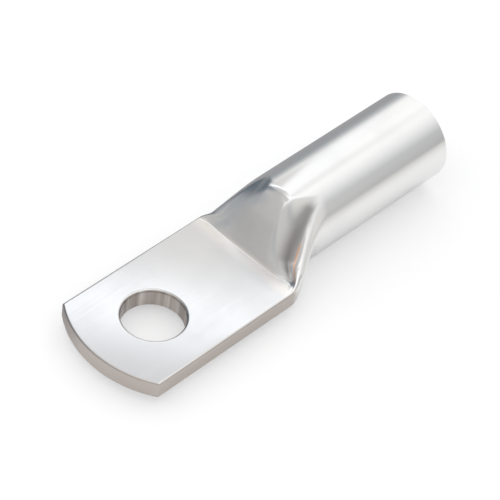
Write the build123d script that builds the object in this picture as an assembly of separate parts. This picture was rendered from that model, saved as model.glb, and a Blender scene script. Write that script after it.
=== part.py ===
from build123d import *
import math
import os

# Crimp lug for a stranded copper conductor, made from one length of round tube.
# One end of the tube is pressed flat into a palm with a stud hole, and the other stays round as the barrel.
# X runs along the lug towards the barrel mouth and Z is square to the palm.
# The origin is the centre of the stud hole on the palm's contact face, which is its underside.
# All sizes are in millimetres and all angles in degrees.

# Tube and barrel
tube_d = 15.8
tube_wall = 1.7
barrel_length = 28.2
barrel_drop = 1.7
mouth_chamfer = 0.5
mouth_break = 0.25

# Palm
palm_width = 22.0
palm_squeeze = 0.1
hole_to_tip = 12.7
tip_bow = 3.5
palm_top_edge_r = 0.5
palm_low_edge_r = 0.6
tip_top_edge_r = 0.3
tip_low_edge_r = 0.5

# Stud hole
stud_hole_d = 10.5
hole_roll_r = 0.5

# Pressed neck, with each length measured along X
hole_to_crease = 20.75
ramp_length = 6.85
scoop_length = 4.7
fold_lead = 1.45
valley_lag = 0.6
flank_lead = 0.5
flank_length = 8.8

# Cavity inside the neck, where the bore closes to a slit
slit_width = 14.0
slit_to_crease = 2.85
cavity_top_lag = 2.0
cavity_low_lag = 0.3
cavity_side_lead = 0.5

# Share of each length that is rounded, at its palm end and at its barrel end
crease_softness = 0.08
shoulder_softness = 0.30
scoop_softness = 0.36
fold_softness = 0.22

# Strength of the scoop and the fold on the far side, +Y, as a share of those on the near side
far_press = 0.3

# Places round the outline, as angles from the middle of the top of the round tube
panel_edge_angle = 14.0
scoop_spread = 21.0
crest_start_angle = 39.0
crest_spread = 28.0
valley_to_crest = 6.5
flank_spread = 60.0
low_start_angle = 124.0
low_spread = 16.0

# Ridge beside the ramp: its rounding as a share of the palm's thickness, and the share of the way from palm
# to barrel over which the palm's top edge grows to that rounding
ridge_rounding = 0.67
ridge_growth = 0.25

# How many stretches the neck and its cavity are drawn through
neck_steps = 20
cavity_steps = 6

# Allowances for cutters, for telling faces apart and for taking directions
overshoot = 1.0
tiny = 0.001
angle_nudge = 0.01

# Values worked out from the sizes above
tube_r = tube_d / 2
bore_r = tube_r - tube_wall
axis_z = tube_r - barrel_drop
palm_thickness = 2 * tube_wall - palm_squeeze
ridge_r = ridge_rounding * palm_thickness
crest_end_angle = crest_start_angle + crest_spread
valley_angle = crest_start_angle - valley_to_crest
low_end_angle = low_start_angle + low_spread
ramp_end = hole_to_crease + ramp_length
flank_end = hole_to_crease - flank_lead + flank_length
neck_start = hole_to_crease - max(fold_lead, flank_lead)
neck_end = max(ramp_end + scoop_length, flank_end)
bore_start = max(ramp_end + cavity_top_lag, flank_end + cavity_low_lag)
hole_to_mouth = neck_end + barrel_length


def stations(start, end, steps):
    """Evenly spaced values from start to end."""
    return [start + (end - start) * i / steps for i in range(steps + 1)]


def share(value, start, end):
    """Share of the way from start to end, kept between 0 and 1."""
    return min(max((value - start) / (end - start), 0.0), 1.0)


def smooth_share(value, start, end):
    """The same share, level at both ends."""
    t = share(value, start, end)
    return t * t * (3 - 2 * t)


def rounded_corner(t, softness):
    """Zero below t = 0 and t above it, with the corner rounded over the softness on each side."""
    if t <= -softness:
        return 0.0
    if t >= softness:
        return t
    return (t + softness) ** 2 / (4 * softness)


def soft_rise(t, first, last):
    """Rises from 0 at t = 0 to 1 at t = 1, straight but for its rounded first and last parts."""
    slope = 1 / (1 - first - last)
    return slope * (rounded_corner(t - first, first) - rounded_corner(t - 1 + last, last))


def roundness(x, angle, press=1.0):
    """How far the outline has gone from the flat palm, 0, to the round tube, 1.

    The middle of the top makes a steep flat ramp. Beside it the scoop reaches further up the barrel,
    and the fold outside the scoop starts first, so that it stands up as a ridge with a valley along it.
    A press under 1 makes scoop and fold weaker.
    """
    scoop = smooth_share(angle, panel_edge_angle, panel_edge_angle + scoop_spread)
    fold = press * smooth_share(angle, valley_angle, crest_start_angle)
    flank = smooth_share(angle, crest_start_angle, crest_start_angle + flank_spread)
    valley = press * math.exp(-(((angle - valley_angle) / valley_to_crest) ** 2))
    start = hole_to_crease + valley_lag * valley - fold_lead * fold
    start += (press * fold_lead - flank_lead) * flank
    top_end = ramp_end + press * scoop_length * scoop
    end = top_end + (flank_end - top_end) * flank
    edge = fold + (1 - fold) * flank
    first = crease_softness + (fold_softness - crease_softness) * edge
    last = shoulder_softness + (scoop_softness - shoulder_softness) * scoop
    last += (fold_softness - last) * edge
    return soft_rise((x - start) / (end - start), first, last)


def palm_point(angle, top_edge_r):
    """Point of the palm's outline, on a walk round half a rectangle with rounded corners."""
    across = share(angle, 0, crest_start_angle) * (palm_width / 2 - top_edge_r)
    along_edge = share(angle, crest_start_angle, crest_end_angle)
    turn = math.radians(90 * along_edge * (2 - along_edge))
    side_height = palm_thickness - top_edge_r - palm_low_edge_r
    down = share(angle, crest_end_angle, low_start_angle) * side_height
    low_turn = math.radians(90 * share(angle, low_start_angle, low_end_angle))
    back = share(angle, low_end_angle, 180) * (palm_width / 2 - palm_low_edge_r)
    y = across + top_edge_r * math.sin(turn) - palm_low_edge_r * (1 - math.cos(low_turn)) - back
    z = palm_thickness - top_edge_r * (1 - math.cos(turn)) - down - palm_low_edge_r * math.sin(low_turn)
    return y, z


def neck_point(x, angle):
    """Point of the neck's outside at a station, for an angle from -180 to 360."""
    angle = angle - 360 if angle > 180 else angle
    side = -1 if angle < 0 else 1
    tube_y = tube_r * math.sin(math.radians(abs(angle)))
    tube_z = axis_z + tube_r * math.cos(math.radians(abs(angle)))
    mix = roundness(x, abs(angle), 1 if side < 0 else far_press)
    grown = smooth_share(mix, 0, ridge_growth)
    palm_y, palm_z = palm_point(abs(angle), palm_top_edge_r + (ridge_r - palm_top_edge_r) * grown)
    return Vector(x, side * (palm_y + (tube_y - palm_y) * mix), palm_z + (tube_z - palm_z) * mix)


def neck_outline(x):
    """The closed outline at a station, as stretches that meet where the palm's edges run on."""
    half = [
        (crest_start_angle, crest_end_angle, 8),
        (crest_end_angle, low_start_angle, 8),
        (low_start_angle, low_end_angle, 5),
    ]
    stretches = [(-crest_start_angle, crest_start_angle, 20)]
    stretches += half
    stretches.append((low_end_angle, 360 - low_end_angle, 8))
    stretches += [(360 - end, 360 - start, steps) for start, end, steps in reversed(half)]
    edges = []
    for start, end, steps in stretches:
        points = [neck_point(x, angle) for angle in stations(start, end, steps)]
        leaving = (neck_point(x, start + angle_nudge) - points[0]) * ((end - start) / angle_nudge)
        arriving = (points[-1] - neck_point(x, end - angle_nudge)) * ((end - start) / angle_nudge)
        shares = stations(0, 1, steps)
        edges.append(Edge.make_spline(points, [leaving, arriving], parameters=shares, scale=False))
    return Wire(edges)


def outside():
    """Solid inside the tube's outer skin: the neck, with its two end faces carried on as palm and barrel."""
    neck = Solid.make_loft([neck_outline(x) for x in stations(neck_start, neck_end, neck_steps)])
    faces = neck.faces().sort_by(Axis.X)
    palm = extrude(faces[0], neck_start + hole_to_tip + overshoot, dir=(-1, 0, 0))
    barrel = extrude(faces[-1], barrel_length, dir=(1, 0, 0))
    skin = faces[1:-1]
    for face in palm.faces():
        if face.center().X < neck_start - tiny:
            skin.append(Face(face.outer_wire()) if face.is_planar else face)
    skin += [face for face in barrel.faces() if face.center().X > neck_end + tiny]
    return Solid(Shell(skin))


def cavity_section(x):
    """Ellipse of the cavity at a station: a slit near the palm, and the full bore where the neck ends."""
    closed_z = palm_thickness / 2
    top = closed_z + (axis_z + bore_r - closed_z) * roundness(x - cavity_top_lag, 0)
    low = closed_z + (axis_z - bore_r - closed_z) * roundness(x - cavity_low_lag, 180)
    half_width = slit_width / 2 + (bore_r - slit_width / 2) * roundness(x + cavity_side_lead, 90)
    plane = Plane(origin=(x, 0, (top + low) / 2), x_dir=(0, 1, 0), z_dir=(1, 0, 0))
    return Wire([Edge.make_ellipse(half_width, (top - low) / 2, plane)])


def cavity():
    """The closing end of the bore inside the neck."""
    start = hole_to_crease + slit_to_crease
    return Solid.make_loft([cavity_section(x) for x in stations(start, bore_start, cavity_steps)])


def bore():
    """The straight round bore that takes the conductor."""
    mouth_side = Plane(origin=(bore_start, 0, axis_z), z_dir=(1, 0, 0))
    length = hole_to_mouth - bore_start + overshoot
    return mouth_side * Cylinder(bore_r, length, align=(Align.CENTER, Align.CENTER, Align.MIN))


def stud_hole():
    """Cutter for the stud hole, whose top rim is rolled over by the punch."""
    wall_r = stud_hole_d / 2
    rim_r = wall_r + hole_roll_r
    above = palm_thickness + overshoot
    wall_top = (wall_r, palm_thickness - hole_roll_r)
    roll = Spline(wall_top, (rim_r, palm_thickness), tangents=[(0, 1), (1, 0)])
    outline = Polyline(roll @ 1, (rim_r, above), (0, above), (0, -overshoot), (wall_r, -overshoot), wall_top)
    return revolve(Plane.XZ * make_face(Curve() + [roll, outline]), Axis.Z)


def tip_waste():
    """Cutter for what lies beyond the palm's bowed tip, with both edges of the tip rounded."""
    tip_r = ((palm_width / 2) ** 2 + tip_bow**2) / (2 * tip_bow)
    top_r = tip_r - tip_top_edge_r
    low_r = tip_r - tip_low_edge_r
    far = tip_r + 3 * tip_bow
    above = palm_thickness + overshoot
    below = -overshoot
    top = TangentArc((tip_r, palm_thickness - tip_top_edge_r), (top_r, palm_thickness), tangent=(0, 1))
    low = TangentArc((tip_r, tip_low_edge_r), (low_r, 0), tangent=(0, -1))
    outline = Polyline(top @ 1, (top_r, above), (far, above), (far, below), (low_r, below), low @ 1)
    ring = revolve(Plane.XZ * make_face(Curve() + [Line(low @ 0, top @ 0), top, outline, low]), Axis.Z)
    end = Box(4 * tip_bow, 2 * palm_width, 4 * palm_thickness)
    return Pos(tip_r - hole_to_tip, 0, 0) * ring & Pos(-hole_to_tip, 0, 0) * end


def mouth_rims():
    """Cones that break the inner and the outer rim of the barrel mouth."""
    mouth = Plane(origin=(hole_to_mouth, 0, axis_z), z_dir=(1, 0, 0))
    depth = 2 * mouth_break
    inner = Cone(bore_r, bore_r + mouth_chamfer, mouth_chamfer)
    outer = Cylinder(2 * tube_r, depth) - Cone(tube_r + mouth_break, tube_r - mouth_break, depth)
    return [mouth * Pos(0, 0, -mouth_chamfer / 2) * inner, mouth * Pos(0, 0, -mouth_break) * outer]


def cable_lug():
    """The whole lug, one piece of tube."""
    lug = outside()
    lug -= bore()
    lug -= cavity()
    lug -= tip_waste()
    lug -= stud_hole()
    lug -= mouth_rims()
    return lug


if __name__ == "__main__":
    os.makedirs("parts", exist_ok=True)
    export_step(cable_lug(), "parts/cable_lug.step")
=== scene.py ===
import logging
import math
from dataclasses import dataclass, field, fields
from enum import Enum
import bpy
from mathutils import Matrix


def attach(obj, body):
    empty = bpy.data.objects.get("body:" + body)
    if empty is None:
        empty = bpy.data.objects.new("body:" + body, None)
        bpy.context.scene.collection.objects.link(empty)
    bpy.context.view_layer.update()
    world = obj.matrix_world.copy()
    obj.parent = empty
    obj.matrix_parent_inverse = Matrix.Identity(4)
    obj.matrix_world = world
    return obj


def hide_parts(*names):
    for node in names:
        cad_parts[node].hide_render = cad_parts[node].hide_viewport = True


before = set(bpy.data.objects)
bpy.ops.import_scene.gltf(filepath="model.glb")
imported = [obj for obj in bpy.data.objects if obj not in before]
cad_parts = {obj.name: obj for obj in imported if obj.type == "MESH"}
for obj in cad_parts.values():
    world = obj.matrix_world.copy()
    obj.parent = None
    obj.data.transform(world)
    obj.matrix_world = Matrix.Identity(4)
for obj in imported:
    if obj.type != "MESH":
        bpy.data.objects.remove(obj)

from types import SimpleNamespace
from typing import Any, ClassVar, Union

import bmesh
import bpy
from mathutils import Matrix, Vector

MM = 0.001
PER_DEGREE = math.pi / 180
QUARTER_TURN = math.pi / 2
MIRROR_BOUNCES = 12
SQUARE = ((-1, -1), (1, -1), (1, 1), (-1, 1))
log = logging.getLogger("cable_lug")

Colour = tuple[float, float, float, float]
Point = tuple[float, float, float]
Span = tuple[float, float]


class Ease(Enum):
    """How a share runs from 0 to 1."""

    EVEN = "LINEAR"
    SOFT = "SMOOTHSTEP"


class Graph:
    """A node tree that is written from Python expressions."""

    def __init__(self, tree: bpy.types.NodeTree) -> None:
        """Wrap a tree and empty it."""
        self.tree = tree
        tree.nodes.clear()

    def add(self, kind: str, settings: dict[str, Any], inputs: dict[Any, Any]) -> bpy.types.Node:
        """Add one node, set it up and feed its sockets.

        Args:
            kind: The node's type name.
            settings: Properties of the node, set before its sockets are fed.
            inputs: Values, Values of this graph, or lists of them, by socket name or number.

        Returns:
            The new node.
        """
        node = self.tree.nodes.new(kind)
        for name, value in settings.items():
            setattr(node, name, value)
        for key, value in inputs.items():
            socket = node.inputs[key]
            for item in value if isinstance(value, list) else [value]:
                if isinstance(item, Value):
                    self.tree.links.new(item.socket, socket)
                else:
                    socket.default_value = item
        return node

    def value(
        self, kind: str, settings: dict[str, Any], inputs: dict[Any, Any], output: Any = 0
    ) -> "Value":
        """Add one node and give one of its outputs, by name or number, ready for arithmetic."""
        return Value(self, self.add(kind, settings, inputs).outputs[output])

    def math(self, operation: str, *terms: Any) -> "Value":
        """Add a Math node for numbers, and give its result."""
        inputs = {i: term for i, term in enumerate(terms)}
        return self.value("ShaderNodeMath", {"operation": operation}, inputs)

    def dot(self, first: Any, second: Any) -> "Value":
        """Dot product of two vectors."""
        settings = {"operation": "DOT_PRODUCT"}
        return self.value("ShaderNodeVectorMath", settings, {0: first, 1: second}, "Value")

    def split(self, vector: "Value") -> list["Value"]:
        """The X, Y and Z of a vector."""
        parts = self.add("ShaderNodeSeparateXYZ", {}, {0: vector})
        return [Value(self, output) for output in parts.outputs]

    def share(self, value: "Value", low: Any, high: Any, ease: Ease = Ease.EVEN) -> "Value":
        """Share of the way from low to high, kept between 0 and 1.

        Args:
            value: What is measured.
            low: Where the share is 0.
            high: Where the share is 1.
            ease: How the share runs in between.

        Returns:
            The share.
        """
        settings = {"interpolation_type": ease.value}
        inputs = {"Value": value, "From Min": low, "From Max": high}
        return self.value("ShaderNodeMapRange", settings, inputs)

    def bump(self, height: "Value", strength: float, distance: float, normal: Any = None) -> "Value":
        """Tilt the surface by a height.

        Args:
            height: The height, as a share of the distance.
            strength: How much of the tilt counts.
            distance: How high a height of 1 stands, in millimetres.
            normal: The bump that this one lies on, if any.

        Returns:
            The tilted normal.
        """
        inputs = {"Strength": strength, "Distance": distance * MM, "Height": height}
        if normal is not None:
            inputs["Normal"] = normal
        return self.value("ShaderNodeBump", {}, inputs)

    def colours(self, share: Any, first: Any, second: Any) -> "Value":
        """Blend two colours, by how much of the second one shows."""
        # Sockets 6 and 7 of a Mix node take the colours, and its output 2 gives their blend.
        settings = {"data_type": "RGBA"}
        return self.value("ShaderNodeMix", settings, {0: share, 6: first, 7: second}, 2)


class Value:
    """One output of a node, with Python's arithmetic."""

    def __init__(self, graph: Graph, socket: bpy.types.NodeSocket) -> None:
        """Wrap an output socket of a graph."""
        self.graph = graph
        self.socket = socket

    def __add__(self, other: Any) -> "Value":
        """Sum."""
        return self.graph.math("ADD", self, other)

    def __radd__(self, other: Any) -> "Value":
        """Sum, with a number first."""
        return self.graph.math("ADD", other, self)

    def __sub__(self, other: Any) -> "Value":
        """Difference."""
        return self.graph.math("SUBTRACT", self, other)

    def __rsub__(self, other: Any) -> "Value":
        """Difference, with a number first."""
        return self.graph.math("SUBTRACT", other, self)

    def __mul__(self, other: Any) -> "Value":
        """Product."""
        return self.graph.math("MULTIPLY", self, other)

    def __rmul__(self, other: Any) -> "Value":
        """Product, with a number first."""
        return self.graph.math("MULTIPLY", other, self)

    def __truediv__(self, other: Any) -> "Value":
        """Quotient."""
        return self.graph.math("DIVIDE", self, other)

    def __rtruediv__(self, other: Any) -> "Value":
        """Quotient, with a number first."""
        return self.graph.math("DIVIDE", other, self)

    def __neg__(self) -> "Value":
        """Opposite."""
        return self.graph.math("MULTIPLY", self, -1.0)


Number = Union[Value, float]


def blank_material(name: str) -> tuple[bpy.types.Material, Graph]:
    """Make a material with an empty tree.

    Args:
        name: The material's name.

    Returns:
        The material, and the graph that writes its tree.
    """
    material = bpy.data.materials.new(name)
    material.use_nodes = True
    return material, Graph(material.node_tree)


def new_object(name: str, data: Any) -> bpy.types.Object:
    """Make an object and link it.

    Args:
        name: The object's name.
        data: Its mesh or camera.

    Returns:
        The object, in the scene's collection.
    """
    made = bpy.data.objects.new(name, data)
    bpy.context.collection.objects.link(made)
    return made


@dataclass
class Palm:
    """The flat end of the lug, with its stud hole and bowed tip. Sizes in millimetres."""

    width: float = 22.0
    thickness: float = 3.3
    top_edge_r: float = 0.5
    low_edge_r: float = 0.6
    hole_to_tip: float = 12.7
    tip_bow: float = 3.5
    tip_top_r: float = 0.3
    tip_low_r: float = 0.5
    hole_r: float = 5.25
    hole_roll: float = 0.5
    length: float = 19.3
    roll_steps: int = 8
    side_steps: int = 44
    tip_steps: int = 60
    flat_shares: tuple[float, ...] = (0.012, 0.12, 0.35, 0.65, 0.9, 0.975)

    @property
    def tip_r(self) -> float:
        """Radius of the tip's bow in plan."""
        return ((self.width / 2) ** 2 + self.tip_bow**2) / (2 * self.tip_bow)

    @property
    def tip_centre(self) -> float:
        """Where the bow's centre lies along X."""
        return self.tip_r - self.hole_to_tip

    def inset(self, z: float, top_r: float, low_r: float) -> float:
        """How far the rounded edges stand back at a height.

        Args:
            z: The height.
            top_r: Radius of the top edge.
            low_r: Radius of the low edge.

        Returns:
            The distance, in millimetres.
        """
        rise = max(z - (self.thickness - top_r), 0.0)
        fall = max(low_r - z, 0.0)
        top = top_r - math.sqrt(max(top_r**2 - rise**2, 0.0))
        return top + low_r - math.sqrt(max(low_r**2 - fall**2, 0.0))

    def open_rim(self, z: float) -> list[Vector]:
        """The palm's outline at a height, from the join's near corner round by the tip to its far one.

        Args:
            z: The height.

        Returns:
            The points, in millimetres.
        """
        half = self.width / 2 - self.inset(z, self.top_edge_r, self.low_edge_r)
        bow = self.tip_r - self.inset(z, self.tip_top_r, self.tip_low_r)
        corner = self.tip_centre - math.sqrt(bow**2 - half**2)
        turn = math.asin(half / bow)
        points = []
        for i in range(self.side_steps):
            points.append(Vector((self.length + (corner - self.length) * i / self.side_steps, -half, z)))
        for i in range(self.tip_steps):
            angle = turn * (2 * i / self.tip_steps - 1)
            points.append(Vector((self.tip_centre - bow * math.cos(angle), bow * math.sin(angle), z)))
        for i in range(self.side_steps + 1):
            points.append(Vector((corner + (self.length - corner) * i / self.side_steps, half, z)))
        return points

    def closed_rim(self, z: float, join: list[float]) -> list[Vector]:
        """The outline at a height, closed along the join, whose Y is given from the middle outwards."""
        across = [-y for y in reversed(join)] + join[1:]
        return self.open_rim(z) + [Vector((self.length, y, z)) for y in reversed(across[1:-1])]

    def hole_wall(self) -> list[Span]:
        """Radius and height of each ring of the stud hole, from its foot over the rolled rim.

        Returns:
            The rings, in millimetres.
        """
        rings = [(self.hole_r, 0.0), (self.hole_r, self.thickness - self.hole_roll)]
        for i in range(1, self.roll_steps + 1):
            turn = QUARTER_TURN * i / self.roll_steps
            grown = self.hole_r + self.hole_roll * (1 - math.cos(turn))
            rings.append((grown, self.thickness - self.hole_roll * (1 - math.sin(turn))))
        return rings

    def mesh(self, walk: list[Span], top_steps: int, low_steps: int) -> bpy.types.Mesh:
        """Build the palm, open where the neck joins it.

        Args:
            walk: Y and Z of the far half of the join, from the top's middle to the underside's middle.
            top_steps: Steps of the walk on the top face.
            low_steps: Steps of the walk on the underside.

        Returns:
            The mesh, in metres.
        """
        built = bmesh.new()
        top_rim = self.closed_rim(self.thickness, [y for y, _ in walk[: top_steps + 1]])
        low_rim = self.closed_rim(0.0, [y for y, _ in reversed(walk[-low_steps - 1 :])])
        heights = [z for _, z in walk[top_steps + 1 : -low_steps - 1]]
        around = [math.atan2(point.y, point.x) for point in top_rim]

        def row(points: list[Vector]) -> list[bmesh.types.BMVert]:
            """Add one row of points."""
            return [built.verts.new(point * MM) for point in points]

        def ring(radius: float, z: float) -> list[Vector]:
            """Points round the stud hole in line with the rim's."""
            return [Vector((radius * math.cos(a), radius * math.sin(a), z)) for a in around]

        def band(first: list[bmesh.types.BMVert], second: list[bmesh.types.BMVert], count: int) -> None:
            """Add the faces between two rows.

            Args:
                first: The row that the faces start from.
                second: The row that they end on.
                count: How many faces.
            """
            for i in range(count):
                j = (i + 1) % len(first)
                built.faces.new((first[i], first[j], second[j], second[i]))

        rows = [row(ring(radius, z)) for radius, z in self.hole_wall()]
        for first, second in zip(rows, rows[1:]):
            band(first, second, len(around))
        start = ring(self.hole_r + self.hole_roll, self.thickness)
        inner = rows[-1]
        for part in (*self.flat_shares, 1.0):
            outer = row([a.lerp(b, part) for a, b in zip(start, top_rim)])
            band(inner, outer, len(around))
            inner = outer
        sides = 2 * self.side_steps + self.tip_steps
        for z in heights:
            outer = row(self.open_rim(z))
            band(inner, outer, sides)
            inner = outer
        under = row(low_rim)
        band(inner, under, sides)
        foot = ring(self.hole_r, 0.0)
        inner = under
        for part in self.flat_shares:
            outer = row([b.lerp(a, part) for a, b in zip(foot, low_rim)])
            band(inner, outer, len(around))
            inner = outer
        band(inner, rows[0], len(around))
        bmesh.ops.recalc_face_normals(built, faces=built.faces)
        mesh = bpy.data.meshes.new("palm")
        built.to_mesh(mesh)
        built.free()
        return mesh


@dataclass
class Neck:
    """The pressed stretch from the palm, and the barrel. Sizes in millimetres, angles in degrees."""

    tube_r: float = 7.9
    wall: float = 1.7
    drop: float = 1.7
    barrel_length: float = 28.2
    mouth_chamfer: float = 0.5
    mouth_break: float = 0.25
    hole_to_crease: float = 20.75
    ramp_length: float = 6.85
    scoop_length: float = 4.7
    fold_lead: float = 1.45
    valley_lag: float = 0.6
    flank_lead: float = 0.5
    flank_length: float = 8.8
    slit_width: float = 14.0
    slit_to_crease: float = 2.85
    cavity_top_lag: float = 2.0
    cavity_low_lag: float = 0.3
    cavity_side_lead: float = 0.5
    crease_softness: float = 0.02
    shoulder_softness: float = 0.30
    scoop_softness: float = 0.36
    fold_softness: float = 0.22
    panel_edge: float = 14.0
    scoop_spread: float = 21.0
    crest_start: float = 39.0
    crest_spread: float = 28.0
    valley_to_crest: float = 6.5
    far_fold: float = 0.3
    ridge_r: float = 2.2
    ridge_growth: float = 0.25
    flank_spread: float = 60.0
    low_start: float = 124.0
    low_spread: float = 16.0

    column_steps: ClassVar[tuple[int, ...]] = (40, 28, 22, 14, 40)

    @property
    def names(self) -> list[str]:
        """Names of the sizes, as the geometry tree's inputs."""
        return [entry.name for entry in fields(self)]

    @property
    def columns(self) -> list[tuple[int, float]]:
        """Steps and degrees of each stretch of the half outline, from the middle of the top.

        Returns:
            The stretches: top face, top edge, side, low edge and underside.
        """
        side = self.low_start - self.crest_start - self.crest_spread
        below = 180 - self.low_start - self.low_spread
        spreads = (self.crest_start, self.crest_spread, side, self.low_spread, below)
        return list(zip(self.column_steps, spreads))

    def half_angles(self) -> list[float]:
        """Angles of the half outline's columns.

        Returns:
            The angles, from the top's middle to the underside's middle.
        """
        angles = [0.0]
        for steps, spread in self.columns:
            first = angles[-1]
            angles += [first + spread * (i + 1) / steps for i in range(steps)]
        return angles

    def palm_walk(self, palm: Palm) -> list[Span]:
        """Y and Z of the palm's half outline at each column.

        Args:
            palm: The palm's sizes.

        Returns:
            The points of a rectangle with rounded corners, in millimetres.
        """
        crest_end = self.crest_start + self.crest_spread
        low_end = self.low_start + self.low_spread
        side = palm.thickness - palm.top_edge_r - palm.low_edge_r

        def done(angle: float, low: float, high: float) -> float:
            """Share of one stretch that the walk has done."""
            return min(max((angle - low) / (high - low), 0.0), 1.0)

        points = []
        for angle in self.half_angles():
            across = done(angle, 0.0, self.crest_start) * (palm.width / 2 - palm.top_edge_r)
            round_edge = done(angle, self.crest_start, crest_end)
            turn = QUARTER_TURN * round_edge * (2 - round_edge)
            down = done(angle, crest_end, self.low_start) * side
            low_turn = QUARTER_TURN * done(angle, self.low_start, low_end)
            back = done(angle, low_end, 180.0) * (palm.width / 2 - palm.low_edge_r)
            y = across + palm.top_edge_r * math.sin(turn)
            y = y - palm.low_edge_r * (1 - math.cos(low_turn)) - back
            z = palm.thickness - palm.top_edge_r * (1 - math.cos(turn))
            points.append((y, z - down - palm.low_edge_r * math.sin(low_turn)))
        return points


@dataclass(frozen=True)
class Grain:
    """Noise that is stretched over the part, in lumps per metre along each axis."""

    lumps: Point
    detail: float
    rough: float

    def build(self, graph: Graph, place: Value) -> Value:
        """Add the noise to a material.

        Args:
            graph: The material's graph.
            place: Where a point lies on the part.

        Returns:
            The noise, about 0.5.
        """
        stretched = graph.value("ShaderNodeMapping", {}, {"Vector": place, "Scale": self.lumps})
        inputs = {"Vector": stretched, "Scale": 1.0, "Detail": self.detail, "Roughness": self.rough}
        return graph.value("ShaderNodeTexNoise", {}, inputs)


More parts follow.
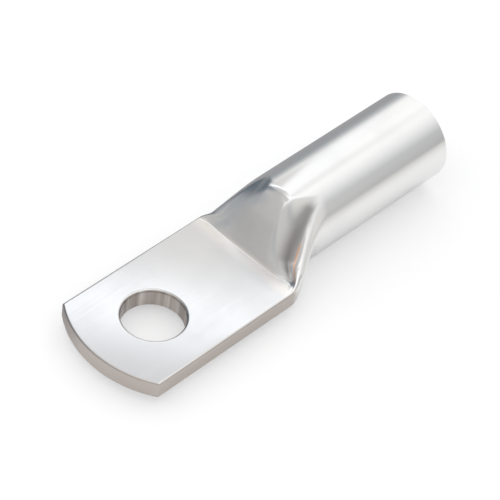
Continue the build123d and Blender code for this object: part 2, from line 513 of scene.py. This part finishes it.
@dataclass(frozen=True)
class TinnedCopper:
    """Bright tin plate over copper, drawn along the tube and thin on its cut edges, with painted shade on
    the cut edges, in the stud hole and in the neck's pocket, and painted highlights on the ridge's crown
    and on the hole's streaks.

    A fade says where a mask is 0 and where it is 1, in millimetres or as a height of the noise.
    """

    tin: Colour = (0.80, 0.795, 0.79, 1.0)
    dull_tin: Colour = (0.72, 0.72, 0.72, 1.0)
    cut_tin: Colour = (0.50, 0.45, 0.42, 1.0)
    hole_tin: Colour = (0.40, 0.355, 0.33, 1.0)
    burnished: Colour = (0.70, 0.66, 0.63, 1.0)
    warm_tin: Colour = (0.90, 0.87, 0.835, 1.0)
    polished: Colour = (0.98, 0.97, 0.965, 1.0)
    pocket_tin: Colour = (0.27, 0.258, 0.25, 1.0)
    copper: Colour = (0.80, 0.46, 0.30, 1.0)
    cloud: Grain = Grain((90.0, 90.0, 90.0), 3.0, 0.5)
    drawn: Grain = Grain((60.0, 2600.0, 2600.0), 3.0, 0.6)
    speckle: Grain = Grain((2400.0, 2400.0, 2400.0), 2.0, 0.5)
    wave: Grain = Grain((55.0, 75.0, 75.0), 1.0, 0.4)
    streaks: Grain = Grain((700.0, 700.0, 25.0), 2.0, 0.6)
    edge_fade: Span = (0.35, 0.05)
    side_edge_fade: Span = (0.40, 0.05)
    tip_fade: Span = (-3.0, -6.0)
    side_fade: Span = (22.5, 20.5)
    strip_front: Span = (-2.8, -0.5)
    strip_back: Span = (0.5, 0.1)
    strip_depth: Span = (0.6, 0.2)
    strip_amount: float = 0.95
    dull_fade: Span = (0.45, 0.75)
    dull_amount: float = 0.6
    streak_fade: Span = (0.42, 0.70)
    pocket_amount: float = 0.9
    rub_weight: float = 0.9
    speckle_weight: float = 0.3
    worn_fade: Span = (0.45, 0.95)
    worn_amount: float = 0.75
    roughness: float = 0.22
    cloud_roughness: float = 0.10
    drawn_roughness: float = 0.08
    cut_roughness: float = 0.10
    strip_roughness: float = 0.02
    wave_height: float = 0.05
    line_height: float = 0.01
    line_strength: float = 0.10

    def build(self, palm: Palm, neck: Neck) -> bpy.types.Material:
        """Make the material.

        Args:
            palm: Sizes that place the cut edges.
            neck: Sizes that place the crease.

        Returns:
            The material, with its maps on Object coordinates and on the lug's own attributes.
        """
        material, graph = blank_material("tinned_copper")
        place = graph.value("ShaderNodeTexCoord", {}, {}, "Object")
        x, y, z = (part / MM for part in graph.split(place))
        hole, cut = self.cut_edges(graph, palm, x, y)
        strip = self.strip(graph, palm, neck, x, z)
        grains = (self.cloud, self.drawn, self.speckle, self.wave, self.streaks)
        cloud, drawn, speckle, wave, streaks = (grain.build(graph, place) for grain in grains)
        rub, pocket, crown = (
            graph.value("ShaderNodeAttribute", {"attribute_name": name}, {}, "Fac")
            for name in ("rub", "pocket", "crown")
        )
        dull = graph.share(cloud, *self.dull_fade, Ease.SOFT) * self.dull_amount
        colour = graph.colours(dull, self.tin, self.dull_tin)
        colour = graph.colours(strip * self.strip_amount, colour, self.warm_tin)
        # The stud hole's wall is darker than the other cut edges as painted shade, with streaks that are
        # partly burnish and partly a painted highlight.
        bright = graph.share(streaks, *self.streak_fade, Ease.SOFT)
        streaked = graph.colours(bright, self.hole_tin, self.burnished)
        # Cut edges: their own warmer tint where the tin is thin, darkened further as painted shade.
        colour = graph.colours(cut, colour, graph.colours(hole, self.cut_tin, streaked))
        # Painted highlight: the ridge's crown is made lighter than the tin.
        colour = graph.colours(crown, colour, self.polished)
        # Painted shade: the pocket between the ramp and the ridge is darkened.
        colour = graph.colours(pocket * self.pocket_amount, colour, self.pocket_tin)
        # A copper-coloured line up the near side of the neck, and copper specks of wear.
        copper_marks = rub * self.rub_weight + speckle * self.speckle_weight
        copper_share = graph.share(copper_marks, *self.worn_fade, Ease.SOFT) * self.worn_amount
        colour = graph.colours(copper_share, colour, self.copper)
        roughness = self.roughness + (cloud - 0.5) * self.cloud_roughness
        roughness = roughness + (drawn - 0.5) * self.drawn_roughness
        roughness = roughness + cut * self.cut_roughness + strip * self.strip_roughness
        uneven = graph.bump(wave, 1.0, self.wave_height)
        lines = graph.bump(drawn, self.line_strength, self.line_height, uneven)
        inputs = {"Base Color": colour, "Metallic": 1.0, "Roughness": roughness, "Normal": lines}
        shader = graph.value("ShaderNodeBsdfPrincipled", {}, inputs)
        graph.add("ShaderNodeOutputMaterial", {}, {"Surface": shader})
        return material

    def cut_edges(self, graph: Graph, palm: Palm, x: Value, y: Value) -> tuple[Value, Value]:
        """Mask the edges that were cut or punched.

        Args:
            graph: The material's graph.
            palm: The palm's sizes.
            x: Place along the lug.
            y: Place across it.

        Returns:
            The mask of the hole's wall, and that of all cut edges.
        """
        from_hole = graph.math("SQRT", x * x + y * y)
        from_centre = x - palm.tip_centre
        from_bow = graph.math("SQRT", from_centre * from_centre + y * y)
        inside, full = self.edge_fade
        tip = graph.share(from_bow, palm.tip_r - inside, palm.tip_r - full, Ease.SOFT)
        tip = tip * graph.share(x, *self.tip_fade)
        hole = graph.share(from_hole, palm.hole_r + inside, palm.hole_r + full, Ease.SOFT)
        inside, full = self.side_edge_fade
        wide = graph.math("ABSOLUTE", y)
        side = graph.share(wide, palm.width / 2 - inside, palm.width / 2 - full, Ease.SOFT)
        side = side * graph.share(x, *self.side_fade)
        return hole, graph.math("MAXIMUM", graph.math("MAXIMUM", tip, side), hole)

    def strip(self, graph: Graph, palm: Palm, neck: Neck, x: Value, z: Value) -> Value:
        """Mask the light strip across the palm in front of the crease.

        Args:
            graph: The material's graph.
            palm: The palm's sizes.
            neck: The neck's sizes.
            x: Place along the lug.
            z: Height.

        Returns:
            The mask.
        """
        along = x - neck.hole_to_crease
        front = graph.share(along, *self.strip_front, Ease.SOFT)
        back = graph.share(along, *self.strip_back, Ease.SOFT)
        low, high = self.strip_depth
        return front * back * graph.share(z, palm.thickness - low, palm.thickness - high)


@dataclass(frozen=True)
class TintBand:
    """A band up the near side of the neck where the lug's colour changes.

    It lies at an angle from the ridge's crest. Its fades are shares of the way from flat to round.
    """

    name: str
    from_crest: float
    half_spread: float
    fade_in: Span
    fade_out: Span
    drift: float = 0.0
    drift_over: Span = (0.4, 0.8)

    def mask(self, graph: Graph, off: Value, mix: Value, near: Value) -> Value:
        """Mask the band.

        Args:
            graph: The geometry's graph.
            off: Angle past the crest, in degrees.
            mix: How far the outline has gone from flat to round.
            near: 1 on the near side and 0 on the far side.

        Returns:
            The mask.
        """
        middle = self.from_crest + self.drift * graph.share(mix, *self.drift_over)
        away = (off - middle) / self.half_spread
        mask = graph.math("EXPONENT", -(away * away)) * near
        for fade in (self.fade_in, self.fade_out):
            mask = mask * graph.share(mix, *fade, Ease.SOFT)
        return mask


@dataclass(frozen=True)
class Sheet:
    """A flat grid to bend, with what is known at each of its points."""

    grid: Value
    along: Value
    angle: Value
    side: Value


@dataclass
class PressedTube:
    """Neck, barrel and bore, which one geometry tree grows from the palm. Sizes in millimetres."""

    palm: Palm
    neck: Neck
    neck_rows: int = 190
    barrel_rows: int = 10
    cavity_rows: int = 40
    weld: float = 0.002
    crisp: float = 0.55
    bands: tuple[TintBand, ...] = (
        # The bands: a copper-coloured line, painted shade in the pocket, and a painted highlight along the
        # crown.
        TintBand("rub", -1.5, 1.0, (0.01, 0.06), (0.62, 0.42)),
        TintBand("pocket", -7.0, 6.5, (0.0, 0.14), (1.0, 0.9), drift=1.5),
        TintBand("crown", 3.0, 4.0, (0.02, 0.2), (0.85, 0.6)),
    )

    def __post_init__(self) -> None:
        """Open the tree, name its inputs, and place the neck's ends from them."""
        self.tree = bpy.data.node_groups.new("pressed_tube", "GeometryNodeTree")
        self.tree.is_modifier = True
        self.graph = Graph(self.tree)
        sockets = self.tree.interface
        sockets.new_socket("Palm", in_out="INPUT", socket_type="NodeSocketGeometry")
        sockets.new_socket("Lug", in_out="OUTPUT", socket_type="NodeSocketGeometry")
        self.values = {name: float(getattr(self.neck, name)) for name in self.neck.names}
        self.values["palm_start"] = float(self.palm.length)
        self.keys = {}
        for name, value in self.values.items():
            item = sockets.new_socket(name, in_out="INPUT", socket_type="NodeSocketFloat")
            item.default_value = value
            self.keys[name] = item.identifier
        given = self.graph.add("NodeGroupInput", {}, {})
        self.blank = Value(self.graph, given.outputs[0])
        inputs = {name: Value(self.graph, given.outputs[name]) for name in self.values}
        self.size = SimpleNamespace(**inputs)
        size = self.size
        self.bore_r = size.tube_r - size.wall
        self.axis_z = size.tube_r - size.drop
        self.crest_end = size.crest_start + size.crest_spread
        self.valley_at = size.crest_start - size.valley_to_crest
        self.low_end = size.low_start + size.low_spread
        self.ramp_end = size.hole_to_crease + size.ramp_length
        self.flank_end = size.hole_to_crease - size.flank_lead + size.flank_length
        self.neck_end = self.larger(self.ramp_end + size.scoop_length, self.flank_end)
        top_end = self.ramp_end + size.cavity_top_lag
        low_end = self.flank_end + size.cavity_low_lag
        self.bore_start = self.larger(top_end, low_end)
        self.mouth = self.neck_end + size.barrel_length

    def larger(self, first: Value, second: Value) -> Value:
        """The larger of two values."""
        return self.graph.math("MAXIMUM", first, second)

    def corner(self, t: Value, softness: Value) -> Value:
        """A rounded corner.

        Args:
            t: What is measured.
            softness: How far the rounding reaches on each side of t = 0.

        Returns:
            Zero below the corner, and t above it.
        """
        graph = self.graph
        inside = graph.math("MINIMUM", graph.math("MAXIMUM", t + softness, 0.0), softness * 2.0)
        return inside * inside / (softness * 4.0) + graph.math("MAXIMUM", t - softness, 0.0)

    def roundness(self, x: Value, angle: Number, fold_size: Number = 1.0) -> Value:
        """How far the outline has gone from the flat palm to the round tube.

        Args:
            x: Place along the lug.
            angle: Angle round the outline, from the top.
            fold_size: Strength of the fold, the valley and the scoop.

        Returns:
            0 on the palm and 1 on the tube.
        """
        graph, size = self.graph, self.size
        crest = size.crest_start
        scoop = graph.share(angle, size.panel_edge, size.panel_edge + size.scoop_spread, Ease.SOFT)
        fold = graph.share(angle, self.valley_at, crest, Ease.SOFT) * fold_size
        flank = graph.share(angle, crest, crest + size.flank_spread, Ease.SOFT)
        off = (angle - self.valley_at) / size.valley_to_crest
        valley = graph.math("EXPONENT", -(off * off)) * fold_size
        start = size.hole_to_crease + size.valley_lag * valley - size.fold_lead * fold
        start = start + (size.fold_lead * fold_size - size.flank_lead) * flank
        soft = fold + (1.0 - fold) * flank
        top_end = self.ramp_end + size.scoop_length * scoop * fold_size
        end = top_end + (self.flank_end - top_end) * flank
        first = size.crease_softness + (size.fold_softness - size.crease_softness) * soft
        last = size.shoulder_softness + (size.scoop_softness - size.shoulder_softness) * scoop
        last = last + (size.fold_softness - last) * soft
        t = (x - start) / (end - start)
        return (self.corner(t - first, first) - self.corner(t - 1.0 + last, last)) / (1.0 - first - last)

    def sheet(self, rows: int) -> Sheet:
        """Add a flat grid to bend.

        Args:
            rows: Steps along the lug.

        Returns:
            The grid, with the place, the angle and the side of its points.
        """
        graph = self.graph
        count = sum(steps for steps, _ in self.neck.columns)
        inputs = {"Size X": 1.0, "Size Y": 1.0, "Vertices X": rows + 1, "Vertices Y": 2 * count + 1}
        grid = graph.value("GeometryNodeMeshGrid", {}, inputs)
        along, across, _ = graph.split(graph.value("GeometryNodeInputPosition", {}, {}))
        column = across * (2.0 * count)
        walked = graph.math("ABSOLUTE", column)
        angle: Number = 0.0
        first = 0
        for steps, spread in self.neck.columns:
            angle = angle + graph.share(walked, float(first), float(first + steps)) * spread
            first += steps
        return Sheet(grid, along + 0.5, angle, graph.math("SIGN", column))

    def place(self, grid: Value, x: Value, y: Value, z: Value, marks: dict[str, Value]) -> Value:
        """Move a grid's points and mark their colour bands.

        Args:
            grid: The grid.
            x: Place along the lug.
            y: Place across it.
            z: Height.
            marks: The masks of the colour bands by name, where the grid has any.

        Returns:
            The bent grid, with an attribute for each band.
        """
        for band in self.bands:
            grid = self.graph.value(
                "GeometryNodeStoreNamedAttribute",
                {"data_type": "FLOAT", "domain": "POINT"},
                {"Geometry": grid, "Name": band.name, "Value": marks.get(band.name, 0.0)},
            )
        spot = self.graph.value("ShaderNodeCombineXYZ", {}, {0: x * MM, 1: y * MM, 2: z * MM})
        return self.graph.value("GeometryNodeSetPosition", {}, {"Geometry": grid, "Position": spot})

    def flat_walk(self, angle: Value, mix: Value) -> tuple[Value, Value]:
        """Walk round the palm's outline, with its top edges rounded more and more up the neck.

        Args:
            angle: Angle round the outline, from the top.
            mix: How far the outline has gone from flat to round.

        Returns:
            Y on the far side, and Z.
        """
        graph, size, palm = self.graph, self.size, self.palm
        grown = graph.share(mix, 0.0, size.ridge_growth, Ease.SOFT)
        edge_r = palm.top_edge_r + (size.ridge_r - palm.top_edge_r) * grown
        across = graph.share(angle, 0.0, size.crest_start) * (palm.width / 2 - edge_r)
        round_edge = graph.share(angle, size.crest_start, self.crest_end)
        turn = round_edge * (2.0 - round_edge) * QUARTER_TURN
        side = palm.thickness - edge_r - palm.low_edge_r
        down = graph.share(angle, self.crest_end, size.low_start) * side
        low_turn = graph.share(angle, size.low_start, self.low_end) * QUARTER_TURN
        back = graph.share(angle, self.low_end, 180.0) * (palm.width / 2 - palm.low_edge_r)
        y = across + graph.math("SINE", turn) * edge_r - back
        y = y - (1.0 - graph.math("COSINE", low_turn)) * palm.low_edge_r
        z = palm.thickness - (1.0 - graph.math("COSINE", turn)) * edge_r
        return y, z - down - graph.math("SINE", low_turn) * palm.low_edge_r

    def ring_band(self, start: tuple[Number, Number], end: tuple[Number, Number], rows: int) -> Value:
        """Add a stretch of straight or conical tube.

        Args:
            start: Place along the lug and radius where it starts.
            end: Place and radius where it ends.
            rows: Its steps along the lug.

        Returns:
            The bent grid.
        """
        sheet = self.sheet(rows)
        turn = sheet.angle * PER_DEGREE
        x = start[0] + (end[0] - start[0]) * sheet.along
        radius = start[1] + (end[1] - start[1]) * sheet.along
        y = self.graph.math("SINE", turn) * radius * sheet.side
        z = self.axis_z + self.graph.math("COSINE", turn) * radius
        return self.place(sheet.grid, x, y, z, {})

    def outer_neck(self) -> Value:
        """Add the neck's outside, from the palm to the round barrel.

        Returns:
            The bent grid, with its colour bands: a copper-coloured line, painted shade and a painted
                highlight.
        """
        graph, size = self.graph, self.size
        sheet = self.sheet(self.neck_rows)
        near = graph.share(sheet.side, 0.0, -1.0)
        x = size.palm_start + (self.neck_end - size.palm_start) * sheet.along
        fold_size = size.far_fold + (1.0 - size.far_fold) * near
        mix = self.roundness(x, sheet.angle, fold_size)
        flat_y, flat_z = self.flat_walk(sheet.angle, mix)
        turn = sheet.angle * PER_DEGREE
        y = flat_y + (graph.math("SINE", turn) * size.tube_r - flat_y) * mix
        z = flat_z + (self.axis_z + graph.math("COSINE", turn) * size.tube_r - flat_z) * mix
        off = sheet.angle - size.crest_start
        marks = {band.name: band.mask(graph, off, mix, near) for band in self.bands}
        return self.place(sheet.grid, x, y * sheet.side, z, marks)

    def cavity(self) -> Value:
        """Add the bore's closing end, from the round bore to the slit and its blind end.

        Returns:
            The bent grid.
        """
        graph, size = self.graph, self.size
        sheet = self.sheet(self.cavity_rows)
        last_row = 1.0 - 1.0 / self.cavity_rows
        closing = graph.share(sheet.along, 0.0, last_row)
        capped = graph.share(sheet.along, 1.0, last_row)
        closed_z = self.palm.thickness / 2
        x = self.bore_start + (size.hole_to_crease + size.slit_to_crease - self.bore_start) * closing
        top_mix = self.roundness(x - size.cavity_top_lag, 0.0)
        low_mix = self.roundness(x - size.cavity_low_lag, 180.0)
        side_mix = self.roundness(x + size.cavity_side_lead, 90.0)
        top = closed_z + (self.axis_z + self.bore_r - closed_z) * top_mix
        low = closed_z + (self.axis_z - self.bore_r - closed_z) * low_mix
        half_slit = size.slit_width / 2.0
        half = half_slit + (self.bore_r - half_slit) * side_mix
        turn = sheet.angle * PER_DEGREE
        y = graph.math("SINE", turn) * half * sheet.side * capped
        z = (top + low) / 2.0 + graph.math("COSINE", turn) * (top - low) / 2.0 * capped
        return self.place(sheet.grid, x, y, z, {})

    def skins(self) -> list[Value]:
        """Add every stretch of the tube.

        Returns:
            The outside from palm to mouth, then the bore from the mouth to its blind end.
        """
        size = self.size
        outside = (self.neck_end, size.tube_r)
        face = (self.mouth - size.mouth_break, size.tube_r)
        rim = (self.mouth, size.tube_r - size.mouth_break)
        lip = (self.mouth, self.bore_r + size.mouth_chamfer)
        bore = (self.mouth - size.mouth_chamfer, self.bore_r)
        return [
            self.outer_neck(),
            self.ring_band(outside, face, self.barrel_rows),
            self.ring_band(face, rim, 1),
            self.ring_band(rim, lip, 1),
            self.ring_band(lip, bore, 1),
            self.ring_band(bore, (self.bore_start, self.bore_r), self.barrel_rows),
            self.cavity(),
        ]

    def grow(self, palm: bpy.types.Object, material: bpy.types.Material) -> bpy.types.Mesh:
        """Finish the tree and grow the tube from the palm with it.

        Args:
            palm: The palm, open where the neck joins it.
            material: The finish.

        Returns:
            The whole lug as one closed mesh.
        """
        graph = self.graph
        tube = graph.value("GeometryNodeJoinGeometry", {}, {0: self.skins()})
        whole = graph.value("GeometryNodeJoinGeometry", {}, {0: [self.blank, tube]})
        inputs = {"Geometry": whole, "Distance": self.weld * MM}
        welded = graph.value("GeometryNodeMergeByDistance", {}, inputs)
        bend = graph.value("GeometryNodeInputMeshEdgeAngle", {}, {})
        smooth = {"FACE": True, "EDGE": graph.math("LESS_THAN", bend, self.crisp)}
        for domain, where in smooth.items():
            inputs = {"Geometry": welded, "Shade Smooth": where}
            welded = graph.value("GeometryNodeSetShadeSmooth", {"domain": domain}, inputs)
        real = graph.value("GeometryNodeRealizeInstances", {}, {"Geometry": welded})
        dressed = graph.value("GeometryNodeSetMaterial", {}, {"Geometry": real, "Material": material})
        graph.add("NodeGroupOutput", {}, {0: dressed})
        modifier = palm.modifiers.new("pressed_tube", "NODES")
        modifier.node_group = self.tree
        for name, value in self.values.items():
            modifier[self.keys[name]] = value
        evaluated = palm.evaluated_get(bpy.context.evaluated_depsgraph_get())
        return bpy.data.meshes.new_from_object(evaluated)


@dataclass
class CableLug:
    """The whole lug, one piece of tube."""

    palm: Palm = field(default_factory=Palm)
    neck: Neck = field(default_factory=Neck)
    finish: TinnedCopper = field(default_factory=TinnedCopper)

    def build(self) -> bpy.types.Object:
        """Build the lug and let it stand for its solid.

        Returns:
            The finished piece.
        """
        top_steps, *_, low_steps = self.neck.column_steps
        palm = self.palm.mesh(self.neck.palm_walk(self.palm), top_steps, low_steps)
        blank = new_object("palm_blank", palm)
        mesh = PressedTube(self.palm, self.neck).grow(blank, self.finish.build(self.palm, self.neck))
        bpy.data.objects.remove(blank)
        mesh.name = "lug_skin"
        piece = new_object("lug_skin", mesh)
        report(piece)
        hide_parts("cable_lug")
        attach(piece, "root")
        return piece


@dataclass(frozen=True)
class GlowCard:
    """A card of soft light near the lug, which only its reflections show. Sizes in millimetres.

    The band's place, its fades and the edge are shares of the card's sides.
    """

    name: str
    aim: Point
    distance: float
    size: Span
    lean: float
    band_place: float
    band_half: float
    band_fade: float
    edge_fade: Span
    band: Colour
    above: Colour
    below: Colour
    beside: Colour

    def mesh(self, camera: bpy.types.Object) -> bpy.types.Mesh:
        """Build the card where the camera sees it mirrored in a level face at its aim.

        Args:
            camera: The camera that it is turned to.

        Returns:
            The card, with a map of its sides.
        """
        aim = Vector(self.aim) * MM
        mirror = Matrix.Diagonal((1.0, 1.0, -1.0))
        turn = mirror @ camera.matrix_world.to_3x3()
        middle = aim + mirror @ (aim - camera.location).normalized() * self.distance * MM
        across = turn.col[0] * self.size[0] / 2 * MM
        up = turn.col[1] * self.size[1] / 2 * MM
        mesh = bpy.data.meshes.new(self.name)
        mesh.from_pydata([middle + across * i + up * j for i, j in SQUARE], [], [(0, 1, 2, 3)])
        sides = mesh.uv_layers.new(name="card")
        for loop, (i, j) in zip(sides.data, SQUARE):
            loop.uv = (0.5 + 0.5 * i, 0.5 + 0.5 * j)
        return mesh

    def build(self, camera: bpy.types.Object) -> None:
        """Hang the card.

        Args:
            camera: The camera that it is turned to.
        """
        card = new_object(self.name, self.mesh(camera))
        for ray in ("camera", "diffuse", "shadow", "transmission"):
            setattr(card, f"visible_{ray}", False)
        material, graph = blank_material(self.name)
        wide, tall, _ = graph.split(graph.value("ShaderNodeUVMap", {"uv_map": "card"}, {}))
        off = tall + (wide - 0.5) * self.lean - self.band_place
        faded = self.band_half + self.band_fade
        high = graph.share(off, self.band_half, faded, Ease.SOFT)
        low = graph.share(off, -self.band_half, -faded, Ease.SOFT)
        colour = graph.colours(high, self.band, self.above)
        colour = graph.colours(low, colour, self.below)
        colour = graph.colours(graph.share(wide, *self.edge_fade, Ease.SOFT), colour, self.beside)
        glow = graph.value("ShaderNodeEmission", {}, {"Color": colour, "Strength": 1.0})
        graph.add("ShaderNodeOutputMaterial", {}, {"Surface": glow})
        card.data.materials.append(material)


@dataclass(frozen=True)
class SkyPatch:
    """A soft patch of the surroundings, seen in the metal. Angles in degrees."""

    towards: Point
    half_angle: float
    softness: float
    colour: Point


@dataclass(frozen=True)
class FloorTone:
    """A stretch of the floor that looks dimmer in the metal. Its fade is in millimetres along one axis."""

    axis: int
    fade: Span
    colour: Colour


@dataclass
class Studio:
    """Floor, surroundings and card."""

    floor_z: float = -1.7
    floor_reach: float = 3000.0
    pale: Colour = (0.97, 0.97, 0.97, 1.0)
    white: Colour = (1.0, 1.0, 1.0, 1.0)
    own_light: float = 0.45
    floor_tones: tuple[FloorTone, ...] = (
        FloorTone(1, (4.0, 18.0), (0.36, 0.36, 0.37, 1.0)),
        FloorTone(1, (-20.0, -90.0), (0.78, 0.77, 0.75, 1.0)),
        FloorTone(0, (-30.0, -70.0), (0.52, 0.51, 0.50, 1.0)),
    )
    sky_axis: float = 80.0
    sky_base: float = 0.36
    sky_rises: tuple[tuple[Span, float], ...] = (((-0.2, 0.36), 0.28), ((0.30, 0.84), 0.72))
    cool: Colour = (0.97, 1.0, 1.01, 1.0)
    cool_fade: Span = (0.15, 0.75)
    patches: tuple[SkyPatch, ...] = (
        SkyPatch((-0.74, 0.38, 0.55), 17.0, 7.0, (0.60, 0.595, 0.58)),
        SkyPatch((-0.32, 0.48, 0.81), 20.0, 8.0, (0.56, 0.56, 0.55)),
        SkyPatch((-0.42, 0.10, 0.90), 11.0, 8.0, (0.66, 0.655, 0.64)),
        SkyPatch((-0.89, -0.14, 0.44), 9.0, 5.0, (0.62, 0.615, 0.60)),
        SkyPatch((-0.72, -0.65, 0.26), 24.0, 10.0, (0.68, 0.67, 0.655)),
        SkyPatch((0.12, 0.30, 0.95), 11.0, 9.0, (0.86, 0.86, 0.87)),
        SkyPatch((0.42, 0.06, 0.90), 9.0, 5.0, (0.74, 0.75, 0.76)),
        SkyPatch((-0.33, -0.24, 0.91), 9.0, 8.0, (0.72, 0.72, 0.71)),
        SkyPatch((0.57, 0.62, 0.54), 14.0, 9.0, (1.20, 1.20, 1.20)),
        SkyPatch((-0.88, 0.47, 0.02), 24.0, 10.0, (0.60, 0.59, 0.58)),
        SkyPatch((-0.62, 0.75, 0.15), 13.0, 10.0, (0.43, 0.46, 0.49)),
        SkyPatch((-0.10, 0.87, 0.48), 25.0, 10.0, (0.22, 0.25, 0.29)),
        SkyPatch((0.25, -0.93, 0.27), 16.0, 12.0, (0.88, 0.86, 0.83)),
        SkyPatch((0.15, 0.98, 0.05), 24.0, 16.0, (0.12, 0.155, 0.185)),
    )
    palm_card: GlowCard = GlowCard(
        name="palm_card",
        aim=(3.0, 0.0, 3.3),
        distance=70.0,
        size=(64.0, 52.0),
        lean=0.24,
        band_place=0.47,
        band_half=0.03,
        band_fade=0.14,
        edge_fade=(0.745, 0.79),
        band=(1.54, 1.60, 1.67, 1.0),
        above=(0.80, 0.79, 0.78, 1.0),
        below=(0.69, 0.69, 0.71, 1.0),
        beside=(1.24, 1.25, 1.27, 1.0),
    )

    def world(self) -> None:
        """Make the surroundings: white to the camera, and one broad soft light from above to the metal."""
        world = bpy.data.worlds.new("studio")
        bpy.context.scene.world = world
        world.use_nodes = True
        graph = Graph(world.node_tree)
        towards = graph.value("ShaderNodeTexCoord", {}, {}, "Generated")
        tilt = math.radians(self.sky_axis)
        high = graph.dot(towards, (0.0, math.cos(tilt), math.sin(tilt)))
        glow: Number = self.sky_base
        for rise, amount in self.sky_rises:
            glow = glow + graph.share(high, *rise) * amount
        ray = graph.add("ShaderNodeLightPath", {}, {})
        mirrored = Value(graph, ray.outputs["Is Glossy Ray"])
        strength = graph.math("MAXIMUM", glow, Value(graph, ray.outputs["Is Camera Ray"]))
        tint = graph.colours(graph.share(high, *self.cool_fade), self.cool, self.white)
        for patch in self.patches:
            near = graph.dot(towards, Vector(patch.towards).normalized())
            outer = math.cos(math.radians(patch.half_angle + patch.softness))
            inner = math.cos(math.radians(patch.half_angle - patch.softness))
            inside = graph.share(near, outer, inner, Ease.SOFT) * mirrored
            tint = graph.colours(inside, tint, (*patch.colour, 1.0))
            strength = strength + (1.0 - strength) * inside
        light = graph.value("ShaderNodeBackground", {}, {"Color": tint, "Strength": strength})
        graph.add("ShaderNodeOutputWorld", {}, {"Surface": light})

    def floor(self) -> None:
        """Lay the pale floor that the lug rests on, with stretches that look dimmer in the metal."""
        mesh = bpy.data.meshes.new("floor")
        reach, z = self.floor_reach * MM, self.floor_z * MM
        mesh.from_pydata([(reach * i, reach * j, z) for i, j in SQUARE], [], [(0, 1, 2, 3)])
        floor = new_object("floor", mesh)
        material, graph = blank_material("pale_floor")
        parts = graph.split(graph.value("ShaderNodeTexCoord", {}, {}, "Object"))
        mirrored: Any = self.pale
        for tone in self.floor_tones:
            start, end = (distance * MM for distance in tone.fade)
            reached = graph.share(parts[tone.axis], start, end, Ease.SOFT)
            mirrored = graph.colours(reached, mirrored, tone.colour)
        seen = graph.value("ShaderNodeLightPath", {}, {}, "Is Camera Ray")
        colour = graph.colours(seen, mirrored, self.pale)
        matt = graph.value("ShaderNodeBsdfDiffuse", {}, {"Color": colour})
        glow = graph.value("ShaderNodeEmission", {}, {"Color": self.white, "Strength": 1.0})
        mixed = graph.value("ShaderNodeMixShader", {}, {0: seen * self.own_light, 1: matt, 2: glow})
        graph.add("ShaderNodeOutputMaterial", {}, {"Surface": mixed})
        mesh.materials.append(material)

    def build(self, camera: bpy.types.Object) -> None:
        """Set up the whole studio.

        Args:
            camera: The camera that the card is turned to.
        """
        self.world()
        self.floor()
        self.palm_card.build(camera)


@dataclass(frozen=True)
class PhotoCamera:
    """The camera, placed as the photograph's: place in metres, angles in degrees, lens in millimetres."""

    place: Point = (-0.19086, -0.16652, 0.27926)
    azimuth: float = -51.904
    elevation: float = 45.595
    roll: float = 9.025
    lens: float = 172.2
    sensor: float = 36.0
    clip: Span = (0.01, 50.0)

    def build(self) -> bpy.types.Object:
        """Set up the camera.

        Returns:
            The camera.
        """
        azimuth, elevation, roll = (math.radians(a) for a in (self.azimuth, self.elevation, self.roll))
        level = math.cos(elevation)
        right = Vector((math.cos(azimuth), math.sin(azimuth), 0.0))
        back = Vector((math.sin(azimuth) * level, -math.cos(azimuth) * level, math.sin(elevation)))
        up = back.cross(right)
        across = right * math.cos(roll) + up * math.sin(roll)
        tall = up * math.cos(roll) - right * math.sin(roll)
        lens = bpy.data.cameras.new("photo_camera")
        lens.lens = self.lens
        lens.sensor_width = self.sensor
        lens.clip_start, lens.clip_end = self.clip
        camera = new_object("photo_camera", lens)
        turn = Matrix((across, tall, back)).transposed()
        camera.matrix_world = Matrix.Translation(self.place) @ turn.to_4x4()
        bpy.context.scene.camera = camera
        return camera


def report(piece: bpy.types.Object) -> None:
    """Say how large a finished piece is and how many triangles it has.

    Args:
        piece: The piece.
    """
    corners = [Vector(corner) / MM for corner in piece.bound_box]
    size = [round(max(c[i] for c in corners) - min(c[i] for c in corners), 2) for i in range(3)]
    triangles = sum(len(face.vertices) - 2 for face in piece.data.polygons)
    log.info("%s: %s mm, %d triangles", piece.name, size, triangles)


def main() -> None:
    """Build the lug and its studio, and note the size of the visual one."""
    logging.basicConfig(level=logging.INFO, format="%(name)s: %(message)s")
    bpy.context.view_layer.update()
    bpy.context.scene.view_settings.view_transform = "Standard"
    bpy.context.scene.cycles.glossy_bounces = MIRROR_BOUNCES
    camera = PhotoCamera().build()
    CableLug().build()
    Studio().build(camera)


if __name__ == "__main__":
    main()
